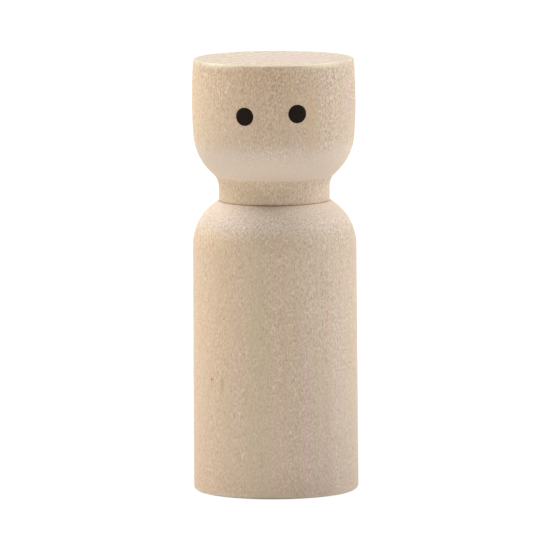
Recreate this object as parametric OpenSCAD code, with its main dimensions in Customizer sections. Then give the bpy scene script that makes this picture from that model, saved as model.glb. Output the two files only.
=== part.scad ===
// Turned wooden peg doll, in millimetres.
// A round-shouldered body and a flat-topped head with a short neck are two separate turnings.
// A hidden dowel is glued into the body, and the head sits on it and turns by hand.
// The doll stands on z = 0, its axis is Z, and its two painted eyes look towards -Y.

/* [Body] */
// Diameter at the foot, which is that of the round stock that both pieces are turned from
foot_d = 25; // [20:0.1:36]
// How much narrower the body is where its straight side meets the rounded shoulder
body_taper = 0.2; // [0:0.05:1]
// Height of the body, from the floor to the flat seat under the neck
body_h = 44.1; // [34:0.1:60]
// Radius of the rounded shoulder
shoulder_round = 7.9; // [4:0.1:12]
// Radius of the eased edge around the foot
foot_round = 0.7; // [0.2:0.1:2]
// Width of the flat ledge that shows around the foot of the neck
seat_ledge = 0.15; // [0.05:0.05:1]

/* [Head] */
// How much narrower the head is, at its widest, than the foot
head_taper = 0.25; // [0:0.05:1]
// Height of the head with its neck, from the seat to the flat crown
head_h = 21.6; // [20:0.1:28]
// Height of the widest place of the head above the seat
belly_h = 15.4; // [13:0.1:18]
// Radius of the slight barrel curve of the head's side
belly_round = 88; // [50:1:200]
// Radius of the small round between the side and the crown
rim_round = 0.3; // [0.1:0.05:1.5]
// Slope of the underside of the head where it leaves the neck, in degrees from upright
flank_angle = 45; // [30:1:55]
// Length of that straight slope before it curves up into the side
flank_l = 1.9; // [1:0.1:3]

/* [Neck] */
// How deep the straight neck is cut into the stock
neck_cut = 4.1; // [3:0.05:5.5]
// Height of the neck, up to the corner under the head
neck_h = 3.25; // [2:0.05:5]
// Radius of the hollow flare at the top of the neck
neck_blend = 3.2; // [0.5:0.1:4]
// How far the flare turns out, in degrees from upright, where it meets the slope of the head
neck_flare = 32; // [15:1:45]
// Radius of the eased edge at the foot of the neck
neck_ease = 0.2; // [0.05:0.05:0.5]

/* [Dowel] */
// Diameter of the hidden dowel
dowel_d = 8; // [4:0.5:10]
// Length of the dowel
dowel_l = 30; // [24:1:40]
// Length of the dowel that stands up inside the head
dowel_in_head = 14; // [8:0.5:17]
// Chamfer at both ends of the dowel
dowel_chamfer = 0.6; // [0.2:0.1:1.5]
// Glue line around the dowel in the body
glue_gap = 0.03; // [0.02:0.01:0.1]
// Running clearance around the dowel in the head
turn_gap = 0.05; // [0.02:0.01:0.1]
// Spare depth of both bores past the ends of the dowel
end_gap = 0.8; // [0.3:0.1:1.5]

/* [Eyes] */
// Diameter of a painted eye
eye_d = 2.85; // [1.5:0.05:4]
// Distance between the centres of the eyes
eye_spacing = 7.95; // [5:0.05:12]
// Height of the eyes above the seat
eye_h = 14.1; // [11:0.05:17]
// How much lower the doll's right eye was dabbed on than its left eye
eye_drop = 0.4; // [0:0.05:1]
// Thickness of the paint
eye_film = 0.12; // [0.05:0.01:0.3]

/* [Hidden] */
$fn = 96;

wood_colour = "#d3b894";
dowel_colour = "#dcc8a4";
paint_colour = "#261e19";

// Straight pieces that each kind of arc is drawn with
small_arc_steps = 6;
large_arc_steps = 14;
// How far a cut runs past the face that it opens in
cut_past = 1;

// Body
foot_r = foot_d / 2;
shoulder_r = foot_r - body_taper / 2;
neck_r = foot_r - neck_cut;
seat_r = neck_r + seat_ledge;
shoulder_end = acos((seat_r - shoulder_r + shoulder_round) / shoulder_round);
shoulder_centre = [shoulder_r - shoulder_round, body_h - shoulder_round * sin(shoulder_end)];

// Head, from the seat upwards
head_r = foot_r - head_taper / 2;
crown_z = body_h + head_h;
belly_centre = [head_r - belly_round, body_h + belly_h];
neck_corner = [neck_r, body_h + neck_h];
flank_out = [cos(flank_angle), -sin(flank_angle)];
flank_top = neck_corner + flank_l * [sin(flank_angle), cos(flank_angle)];
// The bowl is the one arc that leaves the slope smoothly and runs smoothly into the side
flank_reach = flank_top - belly_centre;
bowl_round = (pow(belly_round, 2) - flank_reach * flank_reach) / (belly_round - flank_out * flank_reach) / 2;
bowl_centre = flank_top - bowl_round * flank_out;
bowl_end = atan2(bowl_centre[1] - belly_centre[1], bowl_centre[0] - belly_centre[0]);
// The flare ends in a crease on the line of the slope
flare_rise = (1 - cos(neck_flare)) / tan(flank_angle) - sin(neck_flare);
blend_centre = neck_corner + neck_blend * [1, flare_rise];
rim_start = asin((crown_z - rim_round - belly_centre[1]) / (belly_round - rim_round));
rim_centre = belly_centre + (belly_round - rim_round) * [cos(rim_start), sin(rim_start)];

// Dowel
dowel_r = dowel_d / 2;
dowel_foot_z = body_h + dowel_in_head - dowel_l;

// Eyes
eye_z = body_h + eye_h;
face_r = belly_centre[0] + sqrt(pow(belly_round, 2) - pow(eye_z - belly_centre[1], 2));
eye_turn = asin(eye_spacing / 2 / face_r);

// Points along an arc, from one angle to another
function arc(centre, radius, start, end, steps) =
    [for (i = [0 : steps]) centre + radius * [cos(start + (end - start) * i / steps),
                                              sin(start + (end - start) * i / steps)]];

// The same points in the other order
function backwards(points) = [for (i = [len(points) - 1 : -1 : 0]) points[i]];

// The same points without the first, for an arc that runs on from another one
function run_on(points) = [for (i = [1 : len(points) - 1]) points[i]];

// The curved side of the head, bowl and barrel, with a coat of the given thickness on it
function face_side(coat) = concat(
    arc(bowl_centre, bowl_round + coat, -flank_angle, bowl_end, large_arc_steps),
    run_on(arc(belly_centre, belly_round + coat, bowl_end, rim_start, large_arc_steps)));

// A drilled hole with a flat end
module bore(radius, bottom, top) {
    translate([0, 0, bottom]) cylinder(r = radius, h = top - bottom);
}

module body() {
    color(wood_colour) difference() {
        rotate_extrude() polygon(concat(
            [[0, 0]],
            arc([foot_r - foot_round, foot_round], foot_round, -90, 0, small_arc_steps),
            arc(shoulder_centre, shoulder_round, 0, shoulder_end, large_arc_steps),
            [[0, body_h]]));
        bore(dowel_r + glue_gap, dowel_foot_z - end_gap, body_h + cut_past);
    }
}

module head() {
    color(wood_colour) difference() {
        rotate_extrude() polygon(concat(
            [[0, body_h]],
            arc([neck_r - neck_ease, body_h + neck_ease], neck_ease, -90, 0, small_arc_steps),
            arc(blend_centre, neck_blend, 180, 180 - neck_flare, small_arc_steps),
            face_side(0),
            run_on(arc(rim_centre, rim_round, rim_start, 90, small_arc_steps)),
            [[0, crown_z]]));
        bore(dowel_r + turn_gap, body_h - cut_past, body_h + dowel_in_head + end_gap);
    }
}

module neck_dowel() {
    color(dowel_colour) translate([0, 0, dowel_foot_z]) rotate_extrude() polygon([
        [0, 0],
        [dowel_r - dowel_chamfer, 0],
        [dowel_r, dowel_chamfer],
        [dowel_r, dowel_l - dowel_chamfer],
        [dowel_r - dowel_chamfer, dowel_l],
        [0, dowel_l]]);
}

// A round dab of paint that follows the curve of the face; side is 1 for the doll's left
module eye(side) {
    color(paint_colour) intersection() {
        translate([0, 0, eye_z + side * eye_drop / 2]) rotate([90, 0, side * eye_turn])
            cylinder(d = eye_d, h = head_r + cut_past);
        rotate_extrude() polygon(concat(face_side(eye_film), backwards(face_side(0))));
    }
}

module left_eye() { eye(1); }

module right_eye() { eye(-1); }

body();
head();
neck_dowel();
left_eye();
right_eye();
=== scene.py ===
# %% [markdown]
# A turned wooden peg doll, dressed for its portrait.
# The real doll is two pieces turned on a lathe from pale, fine-grained hardwood: a body with a rounded shoulder,
# and a flat-topped head with a short neck. A hidden dowel joins them, so the head can be turned by hand.
# The construction comes in finished, as solids at their real size. This script gives them their looks.
# We first load the solids. Nothing made here may grow out of it.

# %% Load the construction
import math
import random

import bpy
from mathutils import Matrix, Vector, noise


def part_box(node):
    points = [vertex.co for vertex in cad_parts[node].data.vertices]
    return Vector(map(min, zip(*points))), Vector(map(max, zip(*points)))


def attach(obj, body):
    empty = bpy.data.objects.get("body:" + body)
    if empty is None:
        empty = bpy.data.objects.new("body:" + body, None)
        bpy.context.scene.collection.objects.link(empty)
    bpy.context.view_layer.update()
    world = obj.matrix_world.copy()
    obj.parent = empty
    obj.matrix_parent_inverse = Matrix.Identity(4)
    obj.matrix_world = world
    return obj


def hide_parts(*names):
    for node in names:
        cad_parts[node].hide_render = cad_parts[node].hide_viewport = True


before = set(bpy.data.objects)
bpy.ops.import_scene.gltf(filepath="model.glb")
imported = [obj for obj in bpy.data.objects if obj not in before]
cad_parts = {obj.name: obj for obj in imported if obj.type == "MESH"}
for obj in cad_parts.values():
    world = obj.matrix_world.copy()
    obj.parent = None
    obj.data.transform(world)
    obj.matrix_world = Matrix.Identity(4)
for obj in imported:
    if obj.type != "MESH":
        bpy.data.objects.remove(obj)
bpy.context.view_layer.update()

MM = 0.001
print("pieces of the construction:", sorted(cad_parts))

# %% [markdown]
# A lathe makes every cross-section a circle, so each turning is fully described by one outline, from the middle of
# its underside, out and up, to the middle of its top. An outline is a short list of straight runs and arcs.
# Blender's Screw modifier could sweep it, but we will want to know which ring of points belongs to which edge,
# so we place the points ourselves. These helpers give points along an arc and along a straight run, in millimetres.

# %% Helpers for an outline
def arc(centre, radius, start, end, steps):
    """Points along an arc in the outline's plane, as (distance from the axis, height); angles in degrees."""
    angles = [math.radians(start + (end - start) * i / steps) for i in range(steps + 1)]
    return [(centre[0] + radius * math.cos(a), centre[1] + radius * math.sin(a)) for a in angles]


def run(start, end, spacing):
    """Evenly spaced points from start to end, with both ends."""
    steps = max(1, round(math.dist(start, end) / spacing))
    return [tuple(a + (b - a) * i / steps for a, b in zip(start, end)) for i in range(steps + 1)]


def without_repeats(points):
    """The same outline with meeting points kept once."""
    kept = [points[0]]
    for point in points[1:]:
        if math.dist(point, kept[-1]) > 1e-6:
            kept.append(point)
    return kept


print("an arc of 90 degrees in 6 steps has", len(arc((0, 0), 1, 0, 90, 6)), "points")

# %% [markdown]
# The body is the tall piece. Its straight side is a hair wider at the foot, the foot's edge is eased so that it
# doesn't splinter, and the shoulder is a big quarter-round that stops at a narrow flat ledge around the neck.
# A blind hole for the dowel goes down from the top. The foot's radius and the height come from the loaded solid,
# and the rounds are the turner's own sizes.

# %% Outline of the body
RING_SPACING = 0.4
body_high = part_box("body")[1]
foot_r = body_high.x / MM
body_h = body_high.z / MM
body_taper = 0.2
neck_cut = 4.1
seat_ledge = 0.15
shoulder_r = foot_r - body_taper / 2
neck_r = foot_r - neck_cut
seat_r = neck_r + seat_ledge
foot_round = 0.7
shoulder_round = 7.9
dowel_low, dowel_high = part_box("neck_dowel")
dowel_r = dowel_high.x / MM
glue_gap = 0.03
end_gap = 0.8
bore_r = dowel_r + glue_gap
bore_floor = dowel_low.z / MM - end_gap

shoulder_end = math.degrees(math.acos((seat_r - shoulder_r + shoulder_round) / shoulder_round))
shoulder_z = body_h - shoulder_round * math.sin(math.radians(shoulder_end))
shoulder_centre = (shoulder_r - shoulder_round, shoulder_z)
body_outline = without_repeats(
    run((0, 0), (foot_r - foot_round, 0), RING_SPACING)
    + arc((foot_r - foot_round, foot_round), foot_round, -90, 0, 8)
    + run((foot_r, foot_round), (shoulder_r, shoulder_z), RING_SPACING)
    + arc(shoulder_centre, shoulder_round, 0, shoulder_end, 24)
    + run((seat_r, body_h), (bore_r, body_h), RING_SPACING)
    + run((bore_r, body_h), (bore_r, bore_floor), 4)
    + run((bore_r, bore_floor), (0, bore_floor), 2))
print("the body's shoulder starts at %.2f mm, and its outline has %d points" % (shoulder_z, len(body_outline)))

# %% [markdown]
# The head is cut with its neck in one piece. The neck flares out a little at its top and meets the underside of the
# head in a crease. The underside slopes up at 45 degrees, curves like a bowl, and runs smoothly into a side that
# bulges a little, like a barrel.
# A tiny round joins the side to the flat crown: that edge is what catches the light in front.
# The bowl has to meet the slope and the barrel without a kink, and only one radius does that, so it is worked out.

# %% Outline of the head
head_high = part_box("head")[1]
head_r = head_high.x / MM
crown_z = head_high.z / MM
belly_h = 15.4
belly_round = 88.0
belly_centre = (head_r - belly_round, body_h + belly_h)
neck_h = 3.25
neck_top = body_h + neck_h
neck_ease = 0.2
neck_blend = 3.2
neck_flare = math.radians(32)
rim_round = 0.3
flank = math.radians(45)
flank_l = 1.9
turn_gap = 0.05
head_bore_r = dowel_r + turn_gap
head_bore_top = dowel_high.z / MM + end_gap

flank_top = (neck_r + flank_l * math.sin(flank), neck_top + flank_l * math.cos(flank))
reach = (flank_top[0] - belly_centre[0], flank_top[1] - belly_centre[1])
reach_out = reach[0] * math.cos(flank) - reach[1] * math.sin(flank)
bowl_round = (belly_round ** 2 - reach[0] ** 2 - reach[1] ** 2) / (belly_round - reach_out) / 2
bowl_centre = (flank_top[0] - bowl_round * math.cos(flank), flank_top[1] + bowl_round * math.sin(flank))
bowl_end = math.degrees(math.atan2(bowl_centre[1] - belly_centre[1], bowl_centre[0] - belly_centre[0]))
flare_out = neck_blend * (1 - math.cos(neck_flare))
crease = (neck_r + flare_out, neck_top + flare_out / math.tan(flank))
blend_centre = (neck_r + neck_blend, crease[1] - neck_blend * math.sin(neck_flare))
rim_start = math.asin((crown_z - rim_round - belly_centre[1]) / (belly_round - rim_round))
rim_centre = (belly_centre[0] + (belly_round - rim_round) * math.cos(rim_start), crown_z - rim_round)
head_outline = without_repeats(
    run((0, head_bore_top), (head_bore_r, head_bore_top), 2)
    + run((head_bore_r, head_bore_top), (head_bore_r, body_h), 4)
    + run((head_bore_r, body_h), (neck_r - neck_ease, body_h), RING_SPACING)
    + arc((neck_r - neck_ease, body_h + neck_ease), neck_ease, -90, 0, 5)
    + run((neck_r, body_h + neck_ease), (neck_r, blend_centre[1]), RING_SPACING)
    + arc(blend_centre, neck_blend, 180, 180 - math.degrees(neck_flare), 10)
    + run(crease, flank_top, 0.1)
    + arc(bowl_centre, bowl_round, -math.degrees(flank), bowl_end, 20)
    + arc(belly_centre, belly_round, bowl_end, math.degrees(rim_start), 30)
    + arc(rim_centre, rim_round, math.degrees(rim_start), 90, 8)
    + run((rim_centre[0], crown_z), (0, crown_z), RING_SPACING))
print("the bowl's radius is %.2f mm, and the head's outline has %d points" % (bowl_round, len(head_outline)))

# %% [markdown]
# Now the outline goes round the axis. Every outline point off the axis becomes one ring of vertices, and the two
# points on the axis close the ends with triangles. A ring of 288 keeps a facet under a third of a millimetre.
# The mesh is shaded smooth, except across edges that are truly sharp, such as the mouth of the dowel hole.

# %% Turn an outline into a mesh
RING = 288


def turn(name, outline):
    """A closed round mesh in metres from an outline whose two ends lie on the axis."""
    rings = outline[1:-1]
    vertices = [(0, 0, outline[0][1] * MM), (0, 0, outline[-1][1] * MM)]
    for r, z in rings:
        for k in range(RING):
            angle = 2 * math.pi * k / RING
            vertices.append((r * math.sin(angle) * MM, -r * math.cos(angle) * MM, z * MM))
    faces = []
    last = 2 + (len(rings) - 1) * RING
    for k in range(RING):
        after = (k + 1) % RING
        faces.append((0, 2 + after, 2 + k))
        faces.append((1, last + k, last + after))
        for row in range(len(rings) - 1):
            low = 2 + row * RING
            faces.append((low + k, low + after, low + RING + after, low + RING + k))
    mesh = bpy.data.meshes.new(name)
    mesh.from_pydata(vertices, [], faces)
    mesh.shade_smooth()
    mesh.set_sharp_from_angle(angle=math.radians(40))
    piece = bpy.data.objects.new(name, mesh)
    bpy.context.scene.collection.objects.link(piece)
    return piece


turned_body = turn("turned_body", body_outline)
turned_head = turn("turned_head", head_outline)
for piece in (turned_body, turned_head):
    print(piece.name, "has", len(piece.data.vertices), "vertices")

# %% [markdown]
# A real turning is never perfect: sandpaper leaves faint waves, the fibres stand up a little, and the crown's rim and
# the foot's edge collect small knocks. We push the vertices along their normals by a smooth random field, and press
# dents into the rim. The faces that fit something, which are the seat, the dowel holes and the flat foot, stay true.

# %% Hand finish of the turned surfaces
def sanding(place):
    """How far sandpaper left this place above or below the true surface, in millimetres."""
    waves = noise.noise(place / 7.0)
    fibres = noise.noise(Vector((place.x / 0.7, place.y / 0.7, place.z / 4.0)))
    return 0.022 * waves + 0.006 * fibres


def dent(place, spot, size, depth):
    """The push of one knock: deepest at its spot and gone within about twice its size, in millimetres."""
    return depth * math.exp(-((place - spot).length / size) ** 2)


def on_circle(turn_degrees, r, z):
    """A place on the doll by its turn from the face, to the doll's left, its distance from the axis and height."""
    angle = math.radians(turn_degrees)
    return Vector((r * math.sin(angle), -r * math.cos(angle), z))


def finish_by_hand(piece, is_fitting, knocks):
    """Wave the surface and press the knocks in, but leave the places that fit another piece."""
    mesh = piece.data
    normals = [vertex.normal.copy() for vertex in mesh.vertices]
    for vertex, normal in zip(mesh.vertices, normals):
        place = vertex.co / MM
        if is_fitting(math.hypot(place.x, place.y), place.z):
            continue
        push = sanding(place) - sum(dent(place, *knock) for knock in knocks)
        vertex.co += normal * push * MM
    mesh.update()


KNOCK_SIZE = (0.3, 0.7)
KNOCK_DEPTH = (0.03, 0.08)
FOOT_FLAT = 0.02
TOUCH = 0.01
knock_dice = random.Random(11)


def knocks_around(count, r, z):
    """Small knocks of chance size, at chance places around an edge."""
    return [(on_circle(knock_dice.uniform(0, 360), r, z), knock_dice.uniform(*KNOCK_SIZE),
             knock_dice.uniform(*KNOCK_DEPTH)) for _ in range(count)]


# One deeper knock shows in the photograph, in the middle of the rim.
front_knock = (on_circle(-8.6, rim_centre[0] + rim_round, crown_z - 0.15), 0.55, 0.16)
rim_knocks = [front_knock] + knocks_around(9, rim_centre[0] + rim_round, crown_z - 0.1)
foot_knocks = knocks_around(7, foot_r - 0.1, 0.25)

finish_by_hand(turned_body, lambda r, z: (
    z < FOOT_FLAT or (z > bore_floor - TOUCH and r < seat_r + TOUCH)), foot_knocks)
finish_by_hand(turned_head, lambda r, z: r < neck_r + TOUCH and z < head_bore_top + TOUCH, rim_knocks)
print("pressed", len(rim_knocks), "knocks into the rim and", len(foot_knocks), "into the foot")

# %% [markdown]
# Some looks depend on where a place is on the piece: worn edges turn paler, and the rim's edge also carries a painted
# highlight; dust and painted shade darken the joint under the neck, painted shade darkens the top of the face, and
# painted warm light falls on one side. Slopes such as the shoulder and the bowl are painted paler, as painted light,
# the crown cuts the fibres straight across and gets painted light too, and the tool tore them more in some places than
# in others.
# The mesh itself knows where each place is, so we store numbers on its vertices, and the wood's material will read
# them by name.

# %% Mark edges, joint, cuts and painted light on the meshes
def near(value, target, width):
    """1 at the target, falling smoothly to 0 at a width away from it."""
    share = max(0.0, 1.0 - abs(value - target) / width)
    return share * share * (3 - 2 * share)


def mark(piece, name, rule):
    """Store a number for each vertex, from a rule on its distance from the axis, height, turn and normal."""
    mesh = piece.data
    layer = mesh.attributes.new(name, "FLOAT", "POINT")
    values = []
    for vertex in mesh.vertices:
        x, y, z = vertex.co / MM
        values.append(rule(math.hypot(x, y), z, math.degrees(math.atan2(x, -y)), vertex.normal))
    layer.data.foreach_set("value", values)
    print("  %s of %s: %.2f to %.2f" % (name, piece.name, min(values), max(values)))


rim_reach = (rim_centre[0] + 0.28, crown_z - 0.12)
foot_reach = (foot_r - 0.18, 0.18)
joint_reach = (neck_r, body_h)


def rim_bright_places(turn):
    """Where the rim is palest, to both sides of the face and a little all round: partly wear, partly a painted
    highlight.
    """
    return 0.2 + 0.8 * max(near(turn, -42, 24), near(turn, 38, 24), near(abs(turn), 150, 40))


def on_neck(r, z):
    """Whether a place is on the neck, which ends in a crease under the bowl."""
    return z > body_h and neck_r - 0.5 < r < crease[0] + 0.02 and z < crease[1] + 0.02


def slanted(n, start, end):
    """How far a surface slopes from upright: 0 up to the start of a slope, and 1 from its end."""
    return 1 - near(max(start, abs(n.z)), start, end - start)


def warm_light_side(turn):
    """How much painted warm light a side gets, most on the doll's right."""
    return near(turn, -65, 130)


# Rim: paler where worn, and partly a painted highlight where the light catches the edge. Foot's edge: paler from wear.
mark(turned_head, "wear_and_rim_highlight", lambda r, z, turn, n: rim_bright_places(turn) * near(math.dist((r, z), rim_reach), 0, 0.75))
mark(turned_body, "wear_and_rim_highlight", lambda r, z, turn, n: 0.3 * near(math.dist((r, z), foot_reach), 0, 0.8))
# Flat faces across the fibres, such as the crown: darker end grain, with a grey tone that is painted light.
# The joint: a thin dark line of dust all round, painted shade in the joint in front, and a wider painted shadow on the
# shoulder in front of the neck.
for piece in (turned_body, turned_head):
    mark(piece, "joint_dust_and_shade", lambda r, z, turn, n: max(
        near(math.dist((r, z), joint_reach), 0, 0.3) * (0.1 + 0.9 * near(turn, 0, 34)),
        near(math.dist((r, z), joint_reach), 0, 1.6) * 0.25 * near(turn, 8, 50) * (z < body_h + TOUCH)))
    mark(piece, "end_grain_and_top_light", lambda r, z, turn, n: abs(n.z) ** 24)

# Painted shade: the top of the face, in front, is painted darker and warmer.
mark(turned_head, "painted_face_shade", lambda r, z, turn, n: (
    near(z, crown_z - 0.8, 4.0) * (1 - abs(n.z)) * near(turn, -15, 75)))
# Painted light: slopes are painted paler and less yellow, the shoulder lit from above and the bowl from the sheet
# below; the neck gets none.
mark(turned_body, "painted_slope_light", lambda r, z, turn, n: slanted(n, 0.2, 0.55))
mark(turned_head, "painted_slope_light", lambda r, z, turn, n: 0.0 if on_neck(r, z) else slanted(n, 0.0, 0.35))
# Painted warm light: upright faces on the doll's right are painted warmer.
mark(turned_body, "painted_warm_light", lambda r, z, turn, n: warm_light_side(turn) * (1 - 0.8 * slanted(n, 0.2, 0.55)))
mark(turned_head, "painted_warm_light", lambda r, z, turn, n: (
    warm_light_side(turn) * (1.0 if on_neck(r, z) else 1 - 0.3 * slanted(n, 0.0, 0.35))))

# The fibres tore most on the shoulder, the neck and the upper face, and the underside of the head was cut cleanly.
mark(turned_body, "torn_grain", lambda r, z, turn, n: 1 + 0.75 * near(n.z, 0.45, 0.4))
mark(turned_head, "torn_grain", lambda r, z, turn, n: (
    1.25 if on_neck(r, z) else 1.05 + 0.65 * near(z, crown_z, 11) - 0.85 * slanted(n, 0.0, 0.7) * (n.z < 0)))

# %% [markdown]
# The eyes are two dabs of black paint. A dab is a thin skin that follows the curve of the face, a little thicker in
# the middle and rounded off at its edge, where the paint drew together as it dried.
# A flat disc would cut into the curved face, so each point of the dab is laid on the face by its turn and height.

# %% Paint dabs for the eyes
DAB_RINGS = 12
DAB_RING = 96
paint_film = 0.12
paint_soak = 0.06


def face_r(z):
    """Distance of the face from the axis at a height on the barrel, in millimetres."""
    return belly_centre[0] + math.sqrt(belly_round ** 2 - (z - belly_centre[1]) ** 2)


def paint_dab(name, node):
    """A closed skin of paint where the node's plain film lies."""
    low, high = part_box(node)
    middle = (low + high) / 2 / MM
    dab_r = (high.z - low.z) / 2 / MM
    dab_turn = math.atan2(middle.x, -middle.y)
    vertices, faces = [], []

    def lay(share, angle, lift):
        wobble = 1 + 0.012 * noise.noise(Vector((2.5 * math.cos(angle), 2.5 * math.sin(angle), middle.x)))
        across = share * dab_r * wobble * math.sin(angle)
        z = middle.z + share * dab_r * wobble * math.cos(angle)
        r = face_r(z) + lift
        bend = dab_turn + math.asin(across / face_r(z))
        vertices.append((r * math.sin(bend) * MM, -r * math.cos(bend) * MM, z * MM))

    lay(0, 0, paint_film)
    for ring in range(1, DAB_RINGS + 1):
        share = math.sin(math.pi / 2 * ring / DAB_RINGS)
        lift = -paint_soak + (paint_film + paint_soak) * (1 - share ** 8) ** 0.5
        for k in range(DAB_RING):
            lay(share, 2 * math.pi * k / DAB_RING, lift)
    lay(0, 0, -paint_soak)
    back = len(vertices) - 1
    for k in range(DAB_RING):
        after = (k + 1) % DAB_RING
        faces.append((0, 1 + after, 1 + k))
        for ring in range(DAB_RINGS - 1):
            inner = 1 + ring * DAB_RING
            faces.append((inner + k, inner + after, inner + DAB_RING + after, inner + DAB_RING + k))
        outer = 1 + (DAB_RINGS - 1) * DAB_RING
        faces.append((back, outer + k, outer + after))
    mesh = bpy.data.meshes.new(name)
    mesh.from_pydata(vertices, [], faces)
    mesh.shade_smooth()
    dab = bpy.data.objects.new(name, mesh)
    bpy.context.scene.collection.objects.link(dab)
    print("%s: %.2f mm across, %.1f degrees round the face" % (name, 2 * dab_r, math.degrees(dab_turn)))
    return dab


left_dab = paint_dab("left_eye_paint", "left_eye")
right_dab = paint_dab("right_eye_paint", "right_eye")

# %% [markdown]
# Every finish below is a graph of nodes. Two small helpers keep the graphs readable: one converts a colour as it is
# given into the linear numbers that the shader needs, and one adds a node, where each input is either a plain
# value or the output of an earlier node.

# %% Helpers for materials
def colour(red, green, blue):
    """A colour given from 0 to 255 for each part, as the shader's linear colour."""
    parts = [part / 255 for part in (red, green, blue)]
    linear = [p / 12.92 if p <= 0.04045 else ((p + 0.055) / 1.055) ** 2.4 for p in parts]
    return (*linear, 1.0)


def put(tree, kind, inputs=None, **settings):
    """Add a node. An input takes a value or an earlier node's output, by its name or number."""
    node = tree.nodes.new("ShaderNode" + kind)
    for name, value in settings.items():
        setattr(node, name, value)
    for key, value in (inputs or {}).items():
        socket = node.inputs[key]
        if isinstance(value, bpy.types.NodeSocket):
            tree.links.new(value, socket)
        else:
            socket.default_value = value
    return node


def blend(tree, share, first, second):
    """Mix two colours by a share."""
    return put(tree, "Mix", {0: share, 6: first, 7: second}, data_type="RGBA").outputs[2]


def spread(tree, value, low, high, to_low=0.0, to_high=1.0):
    """Stretch the part of a value between low and high to new ends, and keep it inside them."""
    inputs = {"Value": value, "From Min": low, "From Max": high, "To Min": to_low, "To Max": to_high}
    return put(tree, "MapRange", inputs, clamp=True).outputs["Result"]


def new_material(name):
    """A material with nothing in it but its output and one Principled shader."""
    material = bpy.data.materials.new(name)
    material.use_nodes = True
    tree = material.node_tree
    tree.nodes.clear()
    output = put(tree, "OutputMaterial")
    shader = put(tree, "BsdfPrincipled")
    tree.links.new(shader.outputs["BSDF"], output.inputs["Surface"])
    return material, tree, shader


print("a pale wood tone in linear numbers:", [round(c, 3) for c in colour(235, 211, 187)])

# %% [markdown]
# The wood is pale and close-grained, sanded and left bare. Up close it shows long faint streaks along the fibres,
# soft growth rings, a fine speckle of cut fibres, short dark pores, and a few bright flecks.
# Image textures would need unwrapping and would stretch over the shoulder. Instead the pattern is a solid block of
# wood: its noise is long along Z and narrow across, so the side shows streaks and dashes, and the crown their ends.
# Each piece is cut from its own place in the block, and the head's wood has shorter bands of colour.

# %% Grain pattern of the wood block
def grain(tree, place, across, along, detail=2.0, roughness=0.5):
    """Noise that is across millimetres wide and along millimetres long in the wood's fibres."""
    scale = (1 / across, 1 / across, 1 / along)
    stretched = put(tree, "VectorMath", {0: place, 1: scale}, operation="MULTIPLY").outputs["Vector"]
    inputs = {"Vector": stretched, "Scale": 1.0, "Detail": detail, "Roughness": roughness}
    return put(tree, "TexNoise", inputs).outputs["Fac"]


def growth_rings(tree, place, pith, spacing):
    """Soft rings around a pith that lies far outside the piece, so that they cross it as faint arcs."""
    from_pith = put(tree, "VectorMath", {0: place, 1: pith}, operation="SUBTRACT").outputs["Vector"]
    inputs = {"Vector": from_pith, "Scale": 0.314 / spacing, "Distortion": 1.6, "Detail": 2.0, "Detail Scale": 0.15}
    wave = put(tree, "TexWave", inputs, wave_type="RINGS", rings_direction="Z", wave_profile="SAW")
    return wave.outputs["Fac"]


def wood_place(tree, blank):
    """Where a point lies in the block, in millimetres, for a piece cut from the given place."""
    own = put(tree, "TexCoord").outputs["Object"]
    inputs = {"Vector": own, "Location": blank, "Scale": (1 / MM, 1 / MM, 1 / MM)}
    return put(tree, "Mapping", inputs).outputs["Vector"]


print("grain helpers are ready")

# %% [markdown]
# The colour is built up as a wood finisher would describe it, from large to small. First the tone: it drifts in
# long bands between straw and rose, broad parts of it lean to honey, and faint streaks and growth rings run through.
# Painted warm light makes the doll's right side warmer, and painted shade makes the top of the face darker and warmer.
# Slopes are painted paler and less yellow, as painted light from above and from the sheet below. The crown is nothing
# but ends of fibres, darker and mottled, with a grey tone that is painted light, and the growth rings cross it as
# arcs.

# %% Tone of the wood
def marked(tree, name):
    """The number that the mesh's vertices keep under a name."""
    return put(tree, "Attribute", attribute_name=name).outputs["Fac"]


def lean(tree, tone, share, amount, shade):
    """The tone, leaning by an amount towards a shade where the share is 1."""
    return blend(tree, share, tone, blend(tree, amount, tone, shade))


def lean_both_ways(tree, tone, share, amount, first, second):
    """The tone, leaning by an amount towards the first shade where the share is 0 and the second where it is 1."""
    return blend(tree, share, blend(tree, amount, tone, first), blend(tree, amount, tone, second))


def wood_tone(tree, place, band_l, pith):
    """The tone of the block before its fibres show, with colour bands of the given length in millimetres."""
    band = spread(tree, grain(tree, place, 1.8, band_l), 0.35, 0.65)
    tone = blend(tree, band, colour(216, 206, 176), colour(224, 194, 188))
    warmth = spread(tree, grain(tree, place, 4.5, 2 * band_l, 1.0), 0.35, 0.65)
    tone = lean_both_ways(tree, tone, warmth, 0.15, colour(228, 198, 150), colour(218, 206, 196))
    streak = spread(tree, grain(tree, place, 0.7, 45.0, 3.0, 0.6), 0.3, 0.7)
    tone = blend(tree, streak, blend(tree, 0.34, tone, colour(196, 164, 126)), tone)
    ring = spread(tree, growth_rings(tree, place, pith, 2.3), 0.55, 1.0)
    tone = lean(tree, tone, ring, 0.08, colour(190, 150, 110))
    tone = lean(tree, tone, marked(tree, "painted_warm_light"), 0.66, colour(244, 206, 156))
    tone = lean(tree, tone, marked(tree, "painted_face_shade"), 0.55, colour(224, 181, 138))
    tone = lean(tree, tone, marked(tree, "painted_slope_light"), 0.6, colour(245, 228, 212))
    blotch = spread(tree, grain(tree, place, 0.9, 0.9), 0.35, 0.65)
    end_grain_and_light_tone = blend(tree, blotch, colour(186, 176, 158), colour(220, 212, 196))
    end_grain_and_light_tone = lean(tree, end_grain_and_light_tone, ring, 0.55, colour(176, 142, 106))
    return blend(tree, marked(tree, "end_grain_and_top_light"), tone, end_grain_and_light_tone)


print("the tone helper is ready")

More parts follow.
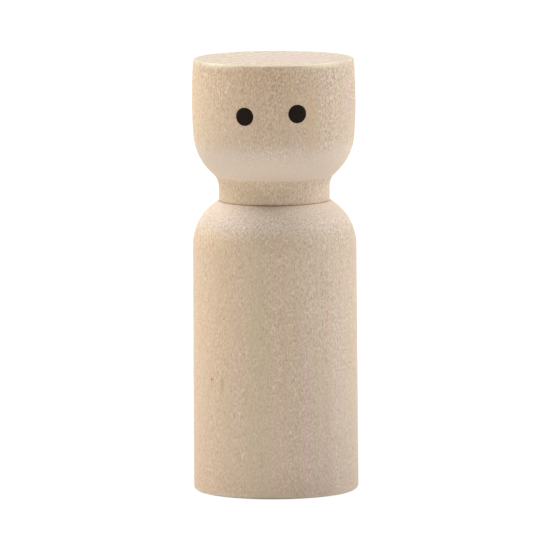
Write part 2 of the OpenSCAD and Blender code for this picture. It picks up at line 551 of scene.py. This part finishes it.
# %% [markdown]
# Then the fibres. Turning cuts them open at a slant, which leaves fine dashes, light and dark, along the grain.
# They are strong in some bands and faint in others, and they follow the torn grain that the mesh has stored.
# Here and there a pore is cut open and looks dark, or a lifted fibre catches the light.

# %% Cut fibres
def calculate(tree, operation, first, second):
    """One step of arithmetic on two values, such as their sum or their product."""
    return put(tree, "Math", {0: first, 1: second}, operation=operation).outputs["Value"]


def times(tree, first, second):
    """The product of two values."""
    return calculate(tree, "MULTIPLY", first, second)


def cut_fibres(tree, place, tone):
    """The tone with its cut fibres, and their height from 0 to 1 for the sheen and the bump."""
    torn = marked(tree, "torn_grain")
    bands = spread(tree, grain(tree, place, 1.5, 20.0, 1.0), 0.35, 0.65, 0.65, 1.35)
    dash = calculate(tree, "SUBTRACT", grain(tree, place, 0.19, 0.41, 0.0), 0.5)
    height = spread(tree, times(tree, dash, times(tree, torn, bands)), -0.48, 0.48)
    tone = lean_both_ways(tree, tone, height, 0.45, colour(158, 128, 96), colour(255, 242, 216))
    pore = times(tree, torn, spread(tree, grain(tree, place, 0.22, 0.7, 1.0), 0.67, 0.76))
    tone = lean(tree, tone, pore, 0.4, colour(128, 98, 70))
    fleck = times(tree, torn, spread(tree, grain(tree, place, 0.24, 0.42, 1.0), 0.66, 0.75))
    tone = lean(tree, tone, fleck, 0.6, colour(255, 246, 222))
    return tone, calculate(tree, "SUBTRACT", height, pore)


print("the fibre helper is ready")

# %% [markdown]
# A few marks make it this doll and not another, and two of them are painted shade. The body has an open pore, a brown
# streak, pale flecks and a long straw-coloured stripe, and it turns a little greyer towards the foot, where painted
# shade also darkens it. The head has a short scratch of three spots, a rosy patch on its crown, a honey-coloured
# streak and patch on its face, and a neck cut down to straw-coloured wood, with a painted shadow on its front under
# the head. Each is a soft spot in the block of wood, placed by its turn from the face, its distance from the axis and
# its height.

# %% Marks of this doll
def spot(tree, place, centre, size):
    """1 in the middle of a small soft spot of the given size in millimetres, and 0 outside it."""
    offset = put(tree, "VectorMath", {0: place, 1: centre}, operation="SUBTRACT").outputs["Vector"]
    share = put(tree, "VectorMath", {0: offset, 1: size}, operation="DIVIDE").outputs["Vector"]
    distance = put(tree, "VectorMath", {0: share}, operation="LENGTH").outputs["Value"]
    return spread(tree, distance, 0.4, 1.0, 1.0, 0.0)


DARK = colour(120, 88, 62)
PALE = colour(255, 244, 214)
ROSE = colour(212, 186, 184)
STRAW = colour(206, 196, 152)
PAINTED_NECK_SHADOW = colour(192, 172, 134)
HONEY = colour(222, 184, 140)
MAUVE = colour(176, 166, 178)
body_marks = (
    (on_circle(-48.4, foot_r, 17.8), (0.25, 0.25, 0.3), 0.8, DARK),
    (on_circle(-38.0, foot_r, 17.1), (0.3, 0.3, 1.9), 0.25, DARK),
    (on_circle(-24.0, foot_r, 13.0), (0.22, 0.22, 0.3), 0.7, PALE),
    (on_circle(0.6, foot_r, 17.1), (0.2, 0.2, 0.35), 0.7, PALE),
    (on_circle(-10.0, foot_r, 18.0), (2.6, 2.6, 40.0), 0.2, STRAW),
    (on_circle(0.0, 0.0, 0.0), (40.0, 40.0, 24.0), 0.09, MAUVE),
    # Painted shade: darker towards the foot, near the floor.
    (on_circle(0.0, 0.0, 0.0), (30.0, 30.0, 7.0), 0.04, DARK))
head_marks = (
    (on_circle(-33.3, head_r, crown_z - 4.0), (0.25, 0.25, 0.45), 0.6, PALE),
    (on_circle(-32.1, head_r, crown_z - 3.4), (0.25, 0.25, 0.45), 0.6, PALE),
    (on_circle(-30.9, head_r, crown_z - 2.8), (0.25, 0.25, 0.45), 0.6, PALE),
    (on_circle(100.0, 2.5, crown_z), (9.0, 8.5, 1.0), 0.35, ROSE),
    (on_circle(29.0, head_r, crown_z - 8.0), (1.6, 1.6, 9.0), 0.3, HONEY),
    (on_circle(2.0, head_r, crown_z - 4.5), (10.0, 10.0, 8.0), 0.22, HONEY),
    (on_circle(0.0, 0.0, body_h + 2.0), (12.0, 12.0, 2.8), 0.14, STRAW),
    # Painted shadow under the head's overhang, on the front of the neck.
    (on_circle(3.0, neck_r, body_h + 1.8), (7.0, 7.0, 3.4), 0.22, PAINTED_NECK_SHADOW))
print(len(body_marks), "marks on the body and", len(head_marks), "on the head")

# %% [markdown]
# Last come the worn edges, paler in patches and partly a painted highlight on the rim, and the joint, darkened by
# dust and painted shade. The height of the fibres also drives the roughness and a very shallow bump, so that the pores
# sit a little deep, with the faint rings that sandpaper leaves on a lathe.

# %% Bare turned wood
def turned_wood(name, blank, band_l, pith, marks):
    """The bare sanded wood of one turning."""
    material, tree, shader = new_material(name)
    place = wood_place(tree, blank)
    tone, height = cut_fibres(tree, place, wood_tone(tree, place, band_l, pith))
    for centre, size, share, shade in marks:
        inside = spread(tree, spot(tree, place, centre + Vector(blank), size), 0.0, 1.0, 0.0, share)
        tone = blend(tree, inside, tone, shade)
    patchy = spread(tree, grain(tree, place, 1.2, 1.2), 0.3, 0.6, 0.65, 1.0)
    tone = blend(tree, times(tree, marked(tree, "wear_and_rim_highlight"), patchy), tone, colour(255, 243, 210))
    tone = lean(tree, tone, marked(tree, "joint_dust_and_shade"), 0.75, colour(110, 84, 58))
    tree.links.new(tone, shader.inputs["Base Color"])

    tree.links.new(spread(tree, height, 0.0, 1.0, 0.62, 0.74), shader.inputs["Roughness"])
    shader.inputs["Specular IOR Level"].default_value = 0.35
    sanded = spread(tree, grain(tree, place, 3.0, 0.14, 1.0), 0.0, 1.0, 0.0, 0.4)
    height = calculate(tree, "ADD", height, sanded)
    bump = put(tree, "Bump", {"Strength": 0.6, "Distance": 0.01 * MM, "Height": height})
    tree.links.new(bump.outputs["Normal"], shader.inputs["Normal"])
    print(name, "has", len(tree.nodes), "nodes")
    return material


body_wood = turned_wood("body_wood", (33.0, 25.0, 0.0), 45.0, (-46.0, 62.0, 0.0), body_marks)
head_wood = turned_wood("head_wood", (41.0, -17.0, 8.0), 5.0, (-58.0, 40.0, 0.0), head_marks)

# %% [markdown]
# The dowel never shows, but it is there: straight-grained stock, planed smooth, paler than the turnings and without
# their worn edges. A short version of the same wood does for it.

# %% Dowel stock
def dowel_stock(name):
    """Plain straight-grained dowel wood."""
    material, tree, shader = new_material(name)
    place = wood_place(tree, (90.0, 12.0, 0.0))
    streak = spread(tree, grain(tree, place, 0.7, 30.0, 3.0, 0.6), 0.3, 0.7)
    tone = blend(tree, streak, colour(214, 190, 152), colour(234, 214, 180))
    speckle = spread(tree, grain(tree, place, 0.17, 0.6, 2.0, 0.6), 0.3, 0.7)
    tone = blend(tree, speckle, blend(tree, 0.2, tone, colour(176, 146, 112)), tone)
    tree.links.new(tone, shader.inputs["Base Color"])
    tree.links.new(spread(tree, streak, 0.0, 1.0, 0.55, 0.65), shader.inputs["Roughness"])
    bump = put(tree, "Bump", {"Strength": 0.5, "Distance": 0.01 * MM, "Height": speckle})
    tree.links.new(bump.outputs["Normal"], shader.inputs["Normal"])
    print(name, "has", len(tree.nodes), "nodes")
    return material


dowel_wood = dowel_stock("dowel_wood")

# %% [markdown]
# The paint is a warm black that dried matte. It is thin, so the tooth of the wood still shows through as a faint
# unevenness in its sheen, and it isn't equally dense everywhere.

# %% Black eye paint
def eye_paint(name):
    """A thin matte black paint with the wood's tooth under it."""
    material, tree, shader = new_material(name)
    place = wood_place(tree, (0.0, 0.0, 0.0))
    density = spread(tree, grain(tree, place, 0.5, 0.9, 3.0), 0.3, 0.7)
    tone = blend(tree, density, colour(31, 18, 10), colour(20, 11, 6))
    tree.links.new(tone, shader.inputs["Base Color"])
    tooth = grain(tree, place, 0.14, 0.4, 2.0)
    tree.links.new(spread(tree, tooth, 0.3, 0.7, 0.6, 0.75), shader.inputs["Roughness"])
    shader.inputs["Specular IOR Level"].default_value = 0.12
    bump = put(tree, "Bump", {"Strength": 0.4, "Distance": 0.01 * MM, "Height": tooth})
    tree.links.new(bump.outputs["Normal"], shader.inputs["Normal"])
    print(name, "has", len(tree.nodes), "nodes")
    return material


black_paint = eye_paint("eye_paint")

# %% [markdown]
# Each new piece now takes its finish, stands in for the plain solid of the same place, and rides on the body that
# carries it: the paint dabs ride on the head, so they turn with it. The dowel keeps its own solid.

# %% Finish every piece and let it ride
for piece, node, body, material, slot in (
        (turned_body, "body", "body", body_wood, "turned_wood"),
        (turned_head, "head", "head", head_wood, "turned_wood"),
        (left_dab, "left_eye", "head", black_paint, "eye_paint"),
        (right_dab, "right_eye", "head", black_paint, "eye_paint")):
    piece.data.materials.append(material)
    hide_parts(node)
    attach(piece, body)
    print(piece.name, "stands for", node, "and rides on", body)

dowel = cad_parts["neck_dowel"]
dowel.data.materials.clear()
dowel.data.materials.append(dowel_wood)

# %% [markdown]
# The doll stands on a white sheet between two softboxes, one on each side and a little behind it, with a small third
# one above the camera. So both edges are light and the side that faces us is darker, and the underside of the head
# is lit from below by the sheet. Two weak white cards, low on both sides, fill in the straight sides. All the light is
# white; the warmth on the doll's right side, the shade at the top of its face and the paler slopes and grey crown are
# painted light and shade in the wood's colour.
# A softbox is an area lamp. We place each by its direction from the doll, like the numbers on a protractor.

# %% Softboxes
BOX_DISTANCE = 0.9
STUDIO_WHITE = (0.98, 0.97, 1.0)
doll_centre = Vector((0, 0, crown_z * MM / 2))


def softbox(name, turn_degrees, lift_degrees, size, watts):
    """A square lamp at a direction from the doll: turned from its front to its left, and lifted from the floor."""
    lamp = bpy.data.lights.new(name, "AREA")
    lamp.shape = "SQUARE"
    lamp.size = size
    lamp.energy = watts
    lamp.color = STUDIO_WHITE
    box = bpy.data.objects.new(name, lamp)
    bpy.context.scene.collection.objects.link(box)
    lift = math.radians(lift_degrees)
    way = on_circle(turn_degrees, math.cos(lift), math.sin(lift))
    box.location = doll_centre + way * BOX_DISTANCE
    box.rotation_euler = way.to_track_quat("Z", "Y").to_euler()
    box.visible_camera = False
    print("%s: %.1f W at %.2f m over the floor" % (name, watts, box.location.z))


softbox("left_softbox", -112, 51, 0.5, 7.1)
softbox("right_softbox", 110, 36, 0.5, 5.4)
softbox("front_softbox", 0, 30, 0.3, 1.2)
softbox("left_card", -92, 10, 0.5, 0.85)
softbox("right_card", 92, 10, 0.5, 0.75)

# %% [markdown]
# The room around is dim and grey. Where a camera ray or a mirror ray leaves the scene it finds plain white instead,
# so the background is white without throwing more light on the doll.

# %% Room and white background
ROOM_LIGHT = 0.12


def seen_directly(tree):
    """1 for rays that look at a surface or mirror it, and 0 for rays that only carry light."""
    path = put(tree, "LightPath").outputs
    either = calculate(tree, "MAXIMUM", path["Is Camera Ray"], path["Is Glossy Ray"])
    return calculate(tree, "MAXIMUM", either, path["Is Transmission Ray"])


world = bpy.data.worlds.new("studio_room")
bpy.context.scene.world = world
world.use_nodes = True
room = world.node_tree
room.nodes.clear()
walls = put(room, "Background", {"Color": (1.0, 1.0, 1.0, 1.0), "Strength": ROOM_LIGHT})
plain_white = put(room, "Background", {"Color": (1.0, 1.0, 1.0, 1.0), "Strength": 1.0})
mixed = put(room, "MixShader", {0: seen_directly(room), 1: walls.outputs[0], 2: plain_white.outputs[0]})
put(room, "OutputWorld", {"Surface": mixed.outputs[0]})
print("the room's own light is", ROOM_LIGHT)

# %% [markdown]
# The sheet is matte and white, and it throws light back up at the doll. Seen by the camera it is almost all plain
# white, and a small share of its true shading is left in, which keeps the doll's soft shadow on it. Away from the
# doll that share would only leave a grey haze, so the plain white grows to full strength there.

# %% White sheet
SHEET_RADIUS = 3.0
SHADOW_REACH = 0.04
bpy.ops.mesh.primitive_circle_add(vertices=96, radius=SHEET_RADIUS, fill_type="NGON", location=(0, 0, 0))
sheet = bpy.context.object
sheet.name = "white_sheet"
material = bpy.data.materials.new("white_sheet")
material.use_nodes = True
tree = material.node_tree
tree.nodes.clear()
matte = put(tree, "BsdfDiffuse", {"Color": (0.9, 0.9, 0.9, 1.0)})
shadow_share = put(tree, "BsdfDiffuse", {"Color": (0.1, 0.1, 0.1, 1.0)})
own = put(tree, "TexCoord").outputs["Object"]
away = put(tree, "VectorMath", {0: own}, operation="LENGTH").outputs["Value"]
plain = spread(tree, away, SHADOW_REACH, 3 * SHADOW_REACH, 0.94, 1.0)
white = put(tree, "Emission", {"Color": (1.0, 1.0, 1.0, 1.0), "Strength": plain})
shown = put(tree, "AddShader", {0: shadow_share.outputs[0], 1: white.outputs[0]})
mixed = put(tree, "MixShader", {0: seen_directly(tree), 1: matte.outputs[0], 2: shown.outputs[0]})
put(tree, "OutputMaterial", {"Surface": mixed.outputs[0]})
sheet.data.materials.append(material)
print("the sheet is %.1f m across" % (2 * SHEET_RADIUS))

# %% [markdown]
# The camera stands well back with a long lens, a little above the doll, so that the crown shows as a thin ellipse.
# The doll's face is turned two degrees to the left, and the picture leans by a third of a degree, as the real one did.
# The lens follows from the distance and from how many pixels of the picture one millimetre takes.

# %% Camera
PICTURE = 550
PIXELS_PER_MM = 6.594
DISTANCE = 1.5
ELEVATION = math.radians(6.775)
FACE_TURN = math.radians(2.1)
LEAN = math.radians(0.387)
DOLL_MIDDLE = (274.87, 273.82)

camera_data = bpy.data.cameras.new("camera")
camera = bpy.data.objects.new("camera", camera_data)
bpy.context.scene.collection.objects.link(camera)
bpy.context.scene.camera = camera
camera_data.sensor_width = 36.0
camera_data.lens = camera_data.sensor_width * DISTANCE * PIXELS_PER_MM / (PICTURE * MM)
camera_data.clip_start = 0.1
camera_data.clip_end = 20.0
back = Vector((math.sin(FACE_TURN) * math.cos(ELEVATION), -math.cos(FACE_TURN) * math.cos(ELEVATION),
               math.sin(ELEVATION)))
stand = back.to_track_quat("Z", "Y").to_matrix() @ Matrix.Rotation(-LEAN, 3, "Z")
right, up = stand.col[0], stand.col[1]
off_centre = ((PICTURE / 2 - DOLL_MIDDLE[0]) * right + (DOLL_MIDDLE[1] - PICTURE / 2) * up) / PIXELS_PER_MM * MM
camera.matrix_world = Matrix.Translation(doll_centre + off_centre + back * DISTANCE) @ stand.to_4x4()
bpy.context.scene.view_settings.view_transform = "Standard"
print("the lens is %.0f mm" % camera_data.lens)

# %% [markdown]
# Last, the scene is brought up to date.

# %% Update the scene
bpy.context.view_layer.update()
